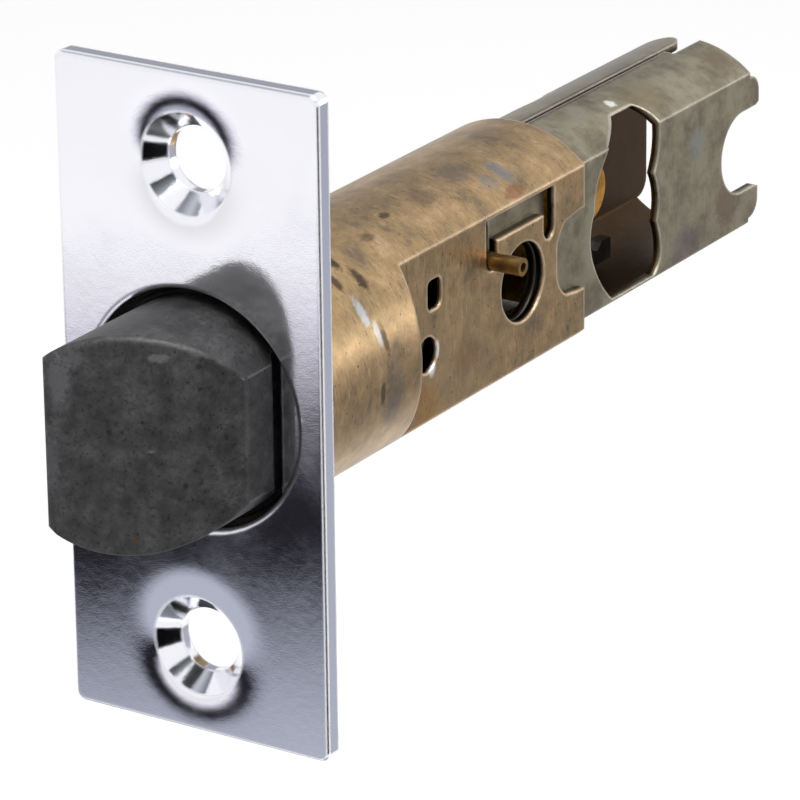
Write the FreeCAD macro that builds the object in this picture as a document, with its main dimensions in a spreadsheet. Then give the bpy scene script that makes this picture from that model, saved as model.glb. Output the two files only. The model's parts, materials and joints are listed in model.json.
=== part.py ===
import FreeCAD, Part
import os
import re
import Sketcher
from FreeCAD import Placement, Rotation, Vector

# Tubular door latch: spring bolt, faceplate, tube barrel and sliding rear case
# X points out of the door edge, Y to the side that the bevel faces, Z up, origin at the faceplate's front centre
os.makedirs("parts", exist_ok=True)
doc = FreeCAD.newDocument("tubular_latch")

# Driving dimensions in millimetres: name, value, meaning
SIZES = [
    ("plate_width", 25.4, "faceplate width"),
    ("plate_height", 57.15, "faceplate height"),
    ("plate_thickness", 1.5, "faceplate thickness"),
    ("plate_corner", 0.9, "corner radius of the faceplate"),
    ("plate_edge", 0.35, "rounding of the faceplate's front edge"),
    ("screw_spacing", 41.8, "distance between the two screw holes"),
    ("screw_hole_radius", 2.8, "screw hole through the plate's dimples"),
    ("sink_radius", 4.35, "dimple at the plate's face"),
    ("sink_depth", 1.7, "depth of the dimple's cone"),
    ("boss_wall", 1.2, "metal round the screw hole behind the plate"),
    ("boss_depth", 1.2, "dimple behind the back of the plate"),
    ("rim_step", 0.35, "bolt hole inside the barrel's outside"),
    ("ledge_gap", 0.45, "straight side of the bolt hole beside the bolt"),
    ("rim_round", 0.45, "rolled rim of the bolt hole"),
    ("land_share", 0.4, "largest share of the plate beside the hole that a rounding takes"),
    ("lip_round", 4.0, "crown of the ledge on the hole's straight side"),
    ("lip_depth", 0.6, "edge of that ledge behind the face"),
    ("tube_radius", 10.55, "outside of the round barrel"),
    ("tube_wall", 0.8, "barrel sheet"),
    ("tube_end", 50.4, "rear end of the barrel behind the face"),
    ("flat_half", 7.25, "half width across the pressed flats"),
    ("step_crest", 18.3, "where the flats start to be pressed in"),
    ("step_run", 1.7, "length of the sloping step"),
    ("leg_front", 34.8, "front leg of the adjusting slot"),
    ("backset_step", 9.525, "change of backset"),
    ("leg_width", 1.9, "width of the slot's legs"),
    ("leg_foot", 2.6, "lowest point of the legs"),
    ("run_low", 5.05, "lower edge of the slot's run"),
    ("run_high", 7.3, "upper edge of the slot's run"),
    ("post_place", 39.9, "mounting post hole behind the face"),
    ("post_radius", 3.6, "mounting post hole"),
    ("window_place", 25.5, "small window in the flat"),
    ("window_level", 3.4, "height of the small window"),
    ("window_long", 2.2, "small window along the barrel"),
    ("window_tall", 2.7, "small window's height"),
    ("window_corner", 0.6, "corner radius of the small window"),
    ("eye_place", 24.3, "round window beside the step"),
    ("eye_level", -1.75, "height of the round window"),
    ("eye_radius", 1.6, "round window"),
    ("notch_depth", 4.7, "notch in the barrel's rear end"),
    ("notch_half", 3.75, "half height of that notch"),
    ("notch_mouth", 0.8, "straight mouth of that notch"),
    ("notch_shoulder", 1.6, "rounded shoulder of that notch along the barrel"),
    ("notch_draft", 0.3, "narrowing of that notch at its shoulder"),
    ("notch_floor", 1.35, "half height of that notch's floor"),
    ("notch_arc", 3, "radius of that notch's shoulders"),
    ("slide_gap", 0.08, "running gap of the rear case in the barrel"),
    ("case_wall", 0.8, "rear case sheet"),
    ("case_front", 29.5, "front end of the rear case"),
    ("case_end", 83.8, "tips of the rear case's lugs"),
    ("case_round_end", 82.1, "rear end of the case's round strips"),
    ("lug_corner", 1.7, "rounding of the lugs"),
    ("lug_half", 6.9, "height where the lugs end"),
    ("post_notch_place", 76.8, "bottom of the rear post notch"),
    ("post_notch_flare", 0.6, "flare at the mouth of the rear post notch"),
    ("seam_width", 0.5, "seam along the top"),
    ("seam_offset", 0.2, "seam beside the middle plane"),
    ("seam_notch_place", 77.2, "start of the relief at the seam's end"),
    ("seam_notch_width", 1.0, "relief on the near edge"),
    ("strip_corner", 2.2, "rounded tip of the far strip"),
    ("backset", 60.325, "spindle centre behind the face"),
    ("rear_window_front", 44.8, "rear window of the case"),
    ("rear_window_long", 2.6, "rear window along the case"),
    ("rear_window_low", 2.3, "lower edge of the rear window"),
    ("rear_window_high", 7.3, "upper edge of the rear window"),
    ("collar_wall", 0.29, "guide collar between the bolt and the barrel"),
    ("bolt_throw", 12.2, "bolt reach out of the face"),
    ("heel_cut", 3.4, "depth of the flat side at the bolt's tip"),
    ("bevel_cut", 1.65, "depth of the flat side where the bevel ends"),
    ("bevel_end", 3.4, "where the bevel ends in front of the face"),
    ("bevel_radius", 29, "crown of the bevel"),
    ("tip_land", 1.1, "blunt tip beside the heel flat"),
    ("relief_start", -0.2, "front of the shallow relief behind the side flat"),
    ("relief_step", 0.6, "slope of the relief along the bolt"),
    ("relief_cut", 0.55, "depth of the relief"),
    ("bolt_edge", 0.45, "broken edges of the bolt"),
    ("fit_gap", 0.06, "running fit of the bolt"),
    ("collar_length", 3.0, "guide collar"),
    ("stop_gap", 0.3, "gap at the bolt's front stop"),
    ("guide_length", 3.7, "guide flange of the bolt"),
    ("guide_gap", 0.25, "guide flange beside the pressed flats"),
    ("drawbar_thickness", 1.2, "drawbar sheet"),
    ("drawbar_gap", 0.25, "drawbar inside the bolt spring"),
    ("drawbar_front", 4.3, "front end of the drawbar"),
    ("fork_root", 22.5, "root of the drawbar's fork"),
    ("post_gap", 0.3, "fork and rear notch beside the mounting posts"),
    ("flare_place", 31.0, "where the fork widens"),
    ("flare_end", 37.0, "where only the rails go on"),
    ("rail_wide", 1.3, "width of the rails"),
    ("rail_gap", 0.97, "rails inside the rear case"),
    ("rail_end", 53.5, "rear end of the rails"),
    ("pin_radius", 1.0, "cross pin of the bolt"),
    ("pin_place", 6.5, "cross pin behind the face"),
    ("spring_wire", 0.8, "bolt spring wire"),
    ("spring_gap", 0.2, "bolt spring beside the pressed flats"),
    ("spring_turns", 7, "turns of the bolt spring"),
    ("seat_place", 28.0, "front of the spring seat"),
    ("seat_thickness", 1.2, "spring seat"),
    ("seat_gap", 0.03, "spring seat in the barrel"),
    ("play", 0.15, "clearance of the drawbar in its slots"),
    ("arm_front", 36.5, "front end of the pull arms"),
    ("hook_front", 66.2, "front face of the hooks"),
    ("hook_long", 2.4, "hooks along the case"),
    ("hook_slope", 0.8, "sloping front of the hooks"),
    ("hook_deep", 0.7, "depth of the hooks"),
    ("side_gap", 0.05, "gap between plates that lie on each other"),
    ("clip_place", 41.0, "link clip"),
    ("clip_long", 3.4, "link clip along the rails"),
    ("clip_sheet", 0.35, "link clip sheet"),
    ("tooth_long", 1.4, "tooth of the link clip"),
    ("tooth_deep", 0.5, "depth of the tooth"),
    ("rivet_radius", 0.35, "rivet of the link clip"),
    ("stud_radius", 0.8, "adjusting stud"),
    ("stud_bore", 0.42, "bore of the adjusting stud"),
    ("stud_reach", 3.1, "stud proud of the flat"),
    ("stud_rest", 3.45, "height of the stud at rest"),
    ("stud_lift", 2.65, "lift of the stud"),
    ("stud_play", 0.05, "stud in the case's window"),
    ("slide_thickness", 0.75, "adjuster slide sheet"),
    ("slide_half", 1.6, "half width of the adjuster slide"),
    ("slide_top", 0.65, "slide above the stud's centre"),
    ("slide_bottom", 2.85, "slide below the stud's centre"),
    ("tongue_half", 1.0, "half width of the slide's tongue"),
    ("tongue_inner", 1.95, "inner end of the tongue"),
    ("ear_gap", 0.12, "slide in its ears"),
    ("ear_wide", 0.8, "ear beside the slide"),
    ("ear_lip", 0.6, "lip over the slide"),
    ("ear_low", 2.6, "lower end of the ears"),
    ("ear_high", 4.2, "upper end of the ears"),
    ("coil_wire", 0.3, "adjuster spring wire"),
    ("coil_radius", 1.05, "adjuster spring, mean radius"),
    ("coil_turns", 6, "turns of the adjuster spring"),
    ("coil_side", 3.3, "adjuster spring beside the middle plane"),
    ("coil_seat", 0.03, "adjuster spring under the case's wall"),
    ("spacer_sheet", 0.8, "case spacer sheet"),
    ("spacer_front", 50.1, "web of the case spacer"),
    ("spacer_gap", 0.64, "case spacer under the case's round walls"),
    ("spacer_long", 2.5, "cheeks of the case spacer"),
    ("lobe_radius", 2.75, "lobe on the spacer's cheeks"),
    ("lobe_level", 3.7, "height of the lobe"),
    ("lobe_place", 54.2, "lobe behind the face"),
]
# Dimensions that follow from others: name, formula, meaning
DERIVED = [
    ("tube_bore", "tube_radius - tube_wall", "inside of the barrel"),
    ("hole_radius", "tube_radius - rim_step", "bolt hole in the plate"),
    ("plate_land", "plate_width / 2 - hole_radius", "plate beside the bolt hole"),
    ("step_slope", "step_run / (tube_radius - flat_half)", "run of the step for each millimetre inwards"),
    ("step_shift", "tube_wall * sqrt(1 + step_slope ^ 2) - tube_wall * step_slope", "inner step ahead of the outer one"),
    ("case_radius", "tube_bore - slide_gap", "outside of the rear case"),
    ("case_flat", "flat_half - tube_wall - slide_gap", "outside of the rear case's flats"),
    ("case_bore", "case_radius - case_wall", "inside of the rear case"),
    ("case_inner", "case_flat - case_wall", "inside of the rear case's flats"),
    ("post_notch_half", "post_radius + post_gap", "half height of the rear post notch"),
    ("bolt_radius", "tube_bore - collar_wall - fit_gap", "bolt head"),
    ("heel_flat", "bolt_radius - heel_cut", "flat side at the bolt's tip"),
    ("bevel_flat", "bolt_radius - bevel_cut", "flat side where the bevel ends"),
    ("relief_flat", "bevel_flat - relief_cut", "side of the relief"),
    ("hole_flat", "bevel_flat + ledge_gap", "straight side of the bolt hole"),
    ("collar_end", "plate_thickness + collar_length", "rear end of the guide collar"),
    ("guide_front", "collar_end + stop_gap", "front of the bolt's guide flange"),
    ("guide_rear", "guide_front + guide_length", "rear of the bolt's guide flange"),
    ("guide_flat", "flat_half - tube_wall - guide_gap", "half width of the guide flange"),
    ("spring_radius", "flat_half - tube_wall - spring_gap - spring_wire / 2", "bolt spring, mean radius"),
    ("drawbar_half", "spring_radius - spring_wire / 2 - drawbar_gap", "half height of the drawbar in the spring"),
    ("fork_half", "post_radius + post_gap", "half height of the fork's gap"),
    ("rail_outer", "case_bore - rail_gap", "outer edge of the rails"),
    ("rail_inner", "rail_outer - rail_wide", "inner edge of the rails"),
    ("rail_middle", "(rail_inner + rail_outer) / 2", "height of the clips' rivets"),
    ("hook_inner", "rail_inner - hook_deep", "inner tip of the hooks"),
    ("clip_top", "rail_outer + side_gap", "underside of the clip's back"),
    ("plate_side", "drawbar_thickness / 2 + side_gap", "side of the drawbar, with its gap"),
    ("arm_side", "plate_side + drawbar_thickness + side_gap", "far side of the pull arms, with its gap"),
    ("slide_side", "case_inner - stud_play", "outer face of the adjuster slide"),
    ("stud_foot", "slide_side - slide_thickness", "inner end of the stud"),
    ("slide_low", "stud_rest - slide_bottom", "lower edge of the adjuster slide"),
    ("coil_foot", "slide_low + slide_thickness + side_gap", "lower end of the adjuster spring"),
    ("coil_top", "sqrt(case_bore ^ 2 - (coil_side + coil_radius) ^ 2) - coil_seat", "its upper end"),
    ("spacer_side", "case_inner - side_gap", "outer faces of the case spacer"),
    ("spacer_half", "sqrt(case_bore ^ 2 - spacer_side ^ 2) - spacer_gap", "half height of the case spacer"),
    ("spacer_rear", "spacer_front + spacer_sheet + spacer_long", "rear end of the spacer's cheeks"),
]
# Vase-shaped spindle opening: along X and up from the spindle's centre, then the radius of the arc to the next corner
SPINDLE_OUTLINE = [
    (3.45, -7.05, 11.8),
    (6.93, -2.5, 4.9),
    (6.63, 2.15, 5.2),
    (5.23, 6.0),
    (4.1, 7.4),
    (0.0, 8.75),
    (-3.7, 8.75, 1.5),
    (-4.8, 7.2, 6.8),
    (-3.98, 2.6, 5.1),
    (-4.48, -2.1, 6.0),
    (-5.28, -5.2, 2.2),
    (-4.08, -7.05),
]

sheet = doc.addObject("Spreadsheet::Sheet", "Sizes")
for row, (alias, number, meaning) in enumerate(SIZES, start=1):
    sheet.set("A%d" % row, alias)
    sheet.set("B%d" % row, str(number))
    sheet.setAlias("B%d" % row, alias)
    sheet.set("C%d" % row, meaning)
for row, (alias, formula, meaning) in enumerate(DERIVED, start=len(SIZES) + 1):
    sheet.set("A%d" % row, alias)
    sheet.set("B%d" % row, "=" + formula)
    sheet.setAlias("B%d" % row, alias)
    sheet.set("C%d" % row, meaning)
doc.recompute()
ALIAS = re.compile(r"\b(" + "|".join(entry[0] for entry in SIZES + DERIVED) + r")\b")


def bound(text):
    """The text as an expression on the sheet's cells."""
    return ALIAS.sub(r"Sizes.\1", str(text))


def value(text):
    """The number that an expression has now."""
    return float(sheet.evalExpression(bound(text)))


def bind(item, prop, text):
    """Binds one property of an object to the sheet."""
    item.setExpression(prop, bound(text))


def origin_plane(body, role):
    """One of the body's own origin planes."""
    return next(item for item in body.Origin.OriginFeatures if item.Role == role)


def new_body(name, base=None):
    """A body, on a base shape where one is given."""
    body = doc.addObject("PartDesign::Body", name)
    if base is not None:
        body.BaseFeature = base
    return body


def new_sketch(body, name, role, offset=None):
    """An empty sketch on one of the body's planes."""
    sketch = body.newObject("Sketcher::SketchObject", name)
    sketch.AttachmentSupport = [(origin_plane(body, role), "")]
    sketch.MapMode = "FlatFace"
    if offset is not None:
        bind(sketch, "AttachmentOffset.Base.z", offset)
    return sketch


def place_point(sketch, geometry, point, across, up):
    """Ties a point of the sketch to two expressions."""
    index = sketch.addConstraint(Sketcher.Constraint("DistanceX", -1, 1, geometry, point, value(across)))
    bind(sketch, "Constraints[%d]" % index, across)
    index = sketch.addConstraint(Sketcher.Constraint("DistanceY", -1, 1, geometry, point, value(up)))
    bind(sketch, "Constraints[%d]" % index, up)


def draw_circle(sketch, across, up, radius):
    """A circle whose centre and radius are bound to the sheet."""
    centre = Vector(value(across), value(up), 0)
    index = sketch.addGeometry(Part.Circle(centre, Vector(0, 0, 1), value(radius)), False)
    place_point(sketch, index, 3, across, up)
    size = sketch.addConstraint(Sketcher.Constraint("Radius", index, value(radius)))
    bind(sketch, "Constraints[%d]" % size, radius)


def arc_between(start, end, radius):
    """The counter-clockwise arc on the chord: a positive radius bulges right of the way, a negative one left."""
    chord = end - start
    side = Vector(chord.y, -chord.x, 0).normalize()
    size = abs(radius)
    rise = size - max(size * size - chord.Length ** 2 / 4, 0) ** 0.5
    if radius > 0:
        return Part.Arc(start, (start + end) / 2 + side * rise, end)
    return Part.Arc(end, (start + end) / 2 - side * rise, start)


def draw_outline(sketch, corners):
    """A closed outline. Each corner is (across, up) or (across, up, radius of the arc to the next corner).

    A half circle is fixed by the level of its centre, any other arc by its radius.
    """
    spots = [Vector(value(corner[0]), value(corner[1]), 0) for corner in corners]
    first = sketch.GeometryCount
    count = len(corners)
    turned = [len(corner) == 3 and value(corner[2]) < 0 for corner in corners]
    for index, corner in enumerate(corners):
        start, end = spots[index], spots[(index + 1) % count]
        if len(corner) == 3:
            sketch.addGeometry(arc_between(start, end, value(corner[2])), False)
        else:
            sketch.addGeometry(Part.LineSegment(start, end), False)
    for index, corner in enumerate(corners):
        following = (index + 1) % count
        ends = 1 if turned[index] else 2
        begins = 2 if turned[following] else 1
        sketch.addConstraint(Sketcher.Constraint("Coincident", first + index, ends, first + following, begins))
    for index, corner in enumerate(corners):
        place_point(sketch, first + index, 2 if turned[index] else 1, corner[0], corner[1])
        if len(corner) < 3:
            continue
        chord = spots[(index + 1) % count] - spots[index]
        if abs(chord.Length - 2 * abs(value(corner[2]))) > 0.001:
            size = sketch.addConstraint(Sketcher.Constraint("Radius", first + index, abs(value(corner[2]))))
            bind(sketch, "Constraints[%d]" % size, "abs(%s)" % corner[2])
            continue
        axis, along = ("DistanceY", corner[1]) if abs(chord.x) > abs(chord.y) else ("DistanceX", corner[0])
        size = sketch.addConstraint(Sketcher.Constraint(axis, -1, 1, first + index, 3, value(along)))
        bind(sketch, "Constraints[%d]" % size, along)


def swept(body, kind, name, sketch, length=None, reverse=False, both=False):
    """A pad or a pocket of the sketch; with no length it goes through all."""
    feature = body.newObject("PartDesign::" + kind, name)
    feature.Profile = sketch
    if length is None:
        feature.Type = "ThroughAll"
    else:
        feature.Type = "Length"
        bind(feature, "Length", length)
    feature.SideType = "Symmetric" if both else "One side"
    feature.Reversed = reverse
    doc.recompute()
    return feature


def mirrored(body, name, feature, role):
    """The feature again on the other side of a plane."""
    mirror = body.newObject("PartDesign::Mirrored", name)
    mirror.Originals = [feature]
    mirror.MirrorPlane = (origin_plane(body, role), [""])
    body.Tip = mirror
    doc.recompute()
    return mirror


def rounded(body, name, radius, chosen):
    """Rounds the edges of the body for which chosen gives true."""
    base = body.Tip
    edges = ["Edge%d" % (index + 1) for index, item in enumerate(base.Shape.Edges) if chosen(item)]
    fillet = body.newObject("PartDesign::Fillet", name)
    fillet.Base = (base, edges)
    bind(fillet, "Radius", radius)
    doc.recompute()
    return fillet


def rod(name, radius, front, rear, level="0", side="0"):
    """A cylinder along X from front back to rear, both measured behind the face."""
    item = doc.addObject("Part::Cylinder", name)
    item.Placement = Placement(Vector(0, 0, 0), Rotation(Vector(0, 1, 0), -90))
    bind(item, "Radius", radius)
    bind(item, "Height", "(%s) - (%s)" % (rear, front))
    bind(item, "Placement.Base.x", "-(%s)" % front)
    bind(item, "Placement.Base.y", side)
    bind(item, "Placement.Base.z", level)
    return item


def cross_rod(name, radius, low_side, high_side, place, level):
    """A cylinder along Y."""
    item = doc.addObject("Part::Cylinder", name)
    item.Placement = Placement(Vector(0, 0, 0), Rotation(Vector(1, 0, 0), -90))
    bind(item, "Radius", radius)
    bind(item, "Height", "(%s) - (%s)" % (high_side, low_side))
    bind(item, "Placement.Base.x", "-(%s)" % place)
    bind(item, "Placement.Base.y", low_side)
    bind(item, "Placement.Base.z", level)
    return item


def block(name, front, rear, low_side, high_side, bottom, top):
    """A box; front and rear are measured behind the face."""
    item = doc.addObject("Part::Box", name)
    bind(item, "Length", "(%s) - (%s)" % (rear, front))
    bind(item, "Width", "(%s) - (%s)" % (high_side, low_side))
    bind(item, "Height", "(%s) - (%s)" % (top, bottom))
    bind(item, "Placement.Base.x", "-(%s)" % rear)
    bind(item, "Placement.Base.y", low_side)
    bind(item, "Placement.Base.z", bottom)
    return item


def joined(name, items):
    """Several solids made one."""
    item = doc.addObject("Part::MultiFuse", name)
    item.Shapes = items
    item.Refine = True
    return item


def cut_from(name, base, tool):
    """The base less the tool."""
    item = doc.addObject("Part::Cut", name)
    item.Base = base
    item.Tool = tool
    item.Refine = True
    return item


def grouped(name, items):
    """Separate equal solids that share a node."""
    item = doc.addObject("Part::Compound", name)
    item.Links = items
    return item


def flattened_section(sketch, radius, flat):
    """A round section with two flat sides."""
    rise = "sqrt((%s)^2 - (%s)^2)" % (radius, flat)
    draw_outline(sketch, [
        (flat, "-" + rise),
        (flat, rise, radius),
        ("-(%s)" % flat, rise),
        ("-(%s)" % flat, "-" + rise, radius),
    ])


def stepped_bar(name, radius, flat, front, rear, crest, foot):
    """A round bar whose sides are pressed flat behind a sloping step."""
    body = new_body(name)
    section = new_sketch(body, name + "_section", "YZ_Plane", "-(%s)" % front)
    draw_circle(section, "0", "0", radius)
    swept(body, "Pad", name + "_round", section, "(%s) - (%s)" % (rear, front), reverse=True)
    side = new_sketch(body, name + "_side", "XY_Plane")
    draw_outline(side, [
        ("-(%s)" % crest, radius),
        ("-(%s)" % foot, flat),
        ("-(%s) - 1" % rear, flat),
        ("-(%s) - 1" % rear, "(%s) + 1" % radius),
        ("-(%s)" % crest, "(%s) + 1" % radius),
    ])
    flank = swept(body, "Pocket", name + "_flank", side, both=True)
    mirrored(body, name + "_flanks", flank, "XZ_Plane")
    return body


def helix_spring(name, radius, wire, turns, length):
    """An open coil spring standing on its own origin."""
    path = doc.addObject("Part::Helix", name + "_path")
    bind(path, "Radius", radius)
    bind(path, "Height", "(%s) - (%s)" % (length, wire))
    bind(path, "Pitch", "((%s) - (%s)) / (%s)" % (length, wire, turns))
    section = doc.addObject("Part::Circle", name + "_section")
    section.Placement = Placement(Vector(0, 0, 0), Rotation(Vector(1, 0, 0), 90))
    bind(section, "Radius", "(%s) / 2" % wire)
    bind(section, "Placement.Base.x", radius)
    path.SegmentLength = 1
    doc.recompute()
    coil = doc.addObject("Part::Sweep", name)
    coil.Sections = [section]
    coil.Spine = (path, ["Edge%d" % (index + 1) for index in range(len(path.Shape.Edges))])
    coil.Solid = True
    coil.Frenet = True
    return coil


def make_faceplate():
    """Stamped plate with two countersunk holes and a rolled hole, straight on one side, for the bolt."""
    body = new_body("plate_blank")
    outline = new_sketch(body, "plate_outline", "YZ_Plane")
    edge = "(plate_width / 2)"
    top = "(plate_height / 2)"
    draw_outline(outline, [
        (edge, "plate_corner - " + top),
        (edge, top + " - plate_corner", "plate_corner"),
        (edge + " - plate_corner", top),
        ("plate_corner - " + edge, top, "plate_corner"),
        ("-" + edge, top + " - plate_corner"),
        ("-" + edge, "plate_corner - " + top, "plate_corner"),
        ("plate_corner - " + edge, "-" + top),
        (edge + " - plate_corner", "-" + top, "plate_corner"),
    ])
    swept(body, "Pad", "plate", outline, "plate_thickness", reverse=True)
    hole = new_sketch(body, "bolt_hole_outline", "YZ_Plane")
    draw_circle(hole, "0", "0", "hole_radius")
    swept(body, "Pocket", "bolt_hole", hole)

    reach = value("hole_radius") + 0.1

    def at_front(item):
        return item.BoundBox.XMin > -0.01

    def round_hole(item):
        box = item.BoundBox
        return max(abs(box.YMin), abs(box.YMax)) < reach and max(abs(box.ZMin), abs(box.ZMax)) < reach

    limit = "plate_land * land_share"
    rounded(body, "rolled_rim", "min(rim_round; %s)" % limit, lambda item: at_front(item) and round_hole(item))
    rounded(body, "soft_edge", "min(plate_edge; %s)" % limit, lambda item: at_front(item) and not round_hole(item))
    ledge = new_body("ledge_blank")
    profile = new_sketch(ledge, "ledge_profile", "XY_Plane")
    draw_outline(profile, [
        ("-plate_thickness", "hole_flat"),
        ("-plate_thickness", "hole_radius + 0.1"),
        ("-rim_round", "hole_radius + 0.1", "-lip_round"),
        ("-lip_depth", "hole_flat"),
    ])
    swept(ledge, "Pad", "ledge_roll", profile, "2 * hole_radius", both=True)
    trimmed = doc.addObject("Part::Common", "ledge")
    trimmed.Base = ledge
    trimmed.Tool = rod("ledge_round", "hole_radius", "0", "plate_thickness")
    solids = [body, trimmed]
    sinks = []
    for name, sign in (("upper", ""), ("lower", "-")):
        level = "%s(screw_spacing / 2)" % sign
        solids.append(rod(name + "_boss", "screw_hole_radius + boss_wall", "plate_thickness / 2",
                          "plate_thickness + boss_depth", level))
        drill = rod(name + "_drill", "screw_hole_radius", "-1", "plate_thickness + boss_depth + 1", level)
        sink = doc.addObject("Part::Cone", name + "_sink")
        sink.Placement = Placement(Vector(0, 0, 0), Rotation(Vector(0, 1, 0), -90))
        bind(sink, "Radius1", "sink_radius")
        bind(sink, "Radius2", "screw_hole_radius")
        bind(sink, "Height", "sink_depth")
        bind(sink, "Placement.Base.z", level)
        sinks += [drill, sink]
    tools = joined("screw_tools", sinks)
    return cut_from("faceplate", joined("plate_with_bosses", solids), tools)


def make_barrel():
    """Steel tube behind the plate, with pressed flats, windows, the adjusting slot and the end notch."""
    foot = "step_crest + step_run"
    outer = stepped_bar("barrel_outer", "tube_radius", "flat_half", "plate_thickness", "tube_end",
                        "step_crest", foot)
    core = stepped_bar("barrel_core", "tube_bore", "flat_half - tube_wall", "0", "tube_end + 1",
                       "step_crest - step_shift", foot + " - step_shift")
    shell = cut_from("barrel_shell", outer, core)
    body = new_body("barrel", shell)
    doc.recompute()
    post = new_sketch(body, "post_outline", "XZ_Plane")
    draw_circle(post, "-post_place", "0", "post_radius")
    swept(body, "Pocket", "post_hole", post, both=True)
    notch = new_sketch(body, "notch_outline", "XZ_Plane")
    deep = "(tube_end - notch_depth)"
    mouth = "(notch_mouth - tube_end)"
    shoulder = "(notch_depth - tube_end - notch_shoulder)"
    draw_outline(notch, [
        ("-tube_end - 1", "notch_half"),
        (mouth, "notch_half"),
        (shoulder, "notch_half - notch_draft", "-notch_arc"),
        ("-" + deep, "notch_floor"),
        ("-" + deep, "-notch_floor", "-notch_arc"),
        (shoulder, "notch_draft - notch_half"),
        (mouth, "-notch_half"),
        ("-tube_end - 1", "-notch_half"),
    ])
    swept(body, "Pocket", "end_notch", notch, both=True)
    eye = new_sketch(body, "eye_outline", "XZ_Plane")
    draw_circle(eye, "-eye_place", "eye_level", "eye_radius")
    swept(body, "Pocket", "eye", eye, "tube_radius")
    window = new_sketch(body, "window_outline", "XZ_Plane")
    front = "(window_long / 2 - window_place)"
    rear = "(-window_long / 2 - window_place)"
    low = "(window_level - window_tall / 2)"
    high = "(window_level + window_tall / 2)"
    draw_outline(window, [
        (front, low + " + window_corner"),
        (front, high + " - window_corner", "window_corner"),
        (front + " - window_corner", high),
        (rear + " + window_corner", high, "window_corner"),
        (rear, high + " - window_corner"),
        (rear, low + " + window_corner", "window_corner"),
        (rear + " + window_corner", low),
        (front + " - window_corner", low, "window_corner"),
    ])
    swept(body, "Pocket", "window", window, "tube_radius")
    slot = new_sketch(body, "slot_outline", "XZ_Plane")
    half = "(leg_width / 2)"
    near = "(-leg_front + leg_width / 2)"
    near_in = "(-leg_front - leg_width / 2)"
    away = "(-leg_front - backset_step)"
    draw_outline(slot, [
        (near, "leg_foot + " + half),
        (near, "run_high"),
        (away + " - " + half, "run_high"),
        (away + " - " + half, "leg_foot + " + half, half),
        (away + " + " + half, "leg_foot + " + half),
        (away + " + " + half, "run_low"),
        (near_in, "run_low"),
        (near_in, "leg_foot + " + half, half),
    ])
    swept(body, "Pocket", "adjusting_slot", slot, "tube_radius")
    return body


def make_collar():
    """Guide bush pressed into the barrel's mouth, in which the bolt's head runs."""
    ring = rod("collar_ring", "tube_bore", "plate_thickness", "collar_end")
    bore = rod("collar_bore", "bolt_radius + fit_gap", "0", "collar_end + 1")
    return cut_from("bolt_collar", ring, bore)


def make_seat():
    """Plate across the barrel that the bolt spring pushes on."""
    body = new_body("spring_seat")
    section = new_sketch(body, "seat_section", "YZ_Plane", "-seat_place")
    flattened_section(section, "(tube_bore - seat_gap)", "(flat_half - tube_wall - seat_gap)")
    swept(body, "Pad", "seat_plate", section, "seat_thickness", reverse=True)
    gate = new_sketch(body, "seat_gate", "YZ_Plane", "-seat_place")
    across = "(drawbar_thickness / 2 + play)"
    up = "(drawbar_half + play)"
    draw_outline(gate, [
        (across, "-" + up),
        (across, up),
        ("-" + across, up),
        ("-" + across, "-" + up),
    ])
    swept(body, "Pocket", "seat_slot", gate)
    return body


def case_ears():
    """Two lanced ears on the near wall that keep the adjuster slide against it."""
    ears = []
    wall = "case_inner + case_wall / 4"
    lip_side = "stud_foot - ear_gap"
    thin = "stud_foot - ear_gap - case_wall / 2"
    for name, sign in (("front_ear", "-"), ("rear_ear", "+")):
        near = "(slide_half + ear_gap)"
        far = "(slide_half + ear_gap + ear_wide)"
        tip = "(slide_half + ear_gap - ear_lip)"
        if sign == "-":
            spans = [("leg_front - %s" % far, "leg_front - %s" % near),
                     ("leg_front - %s" % far, "leg_front - %s" % tip)]
        else:
            spans = [("leg_front + %s" % near, "leg_front + %s" % far),
                     ("leg_front + %s" % tip, "leg_front + %s" % far)]
        ears.append(block(name + "_stand", spans[0][0], spans[0][1], thin, wall, "ear_low", "ear_high"))
        ears.append(block(name + "_lip", spans[1][0], spans[1][1], thin, lip_side, "ear_low", "ear_high"))
    return ears


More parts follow.
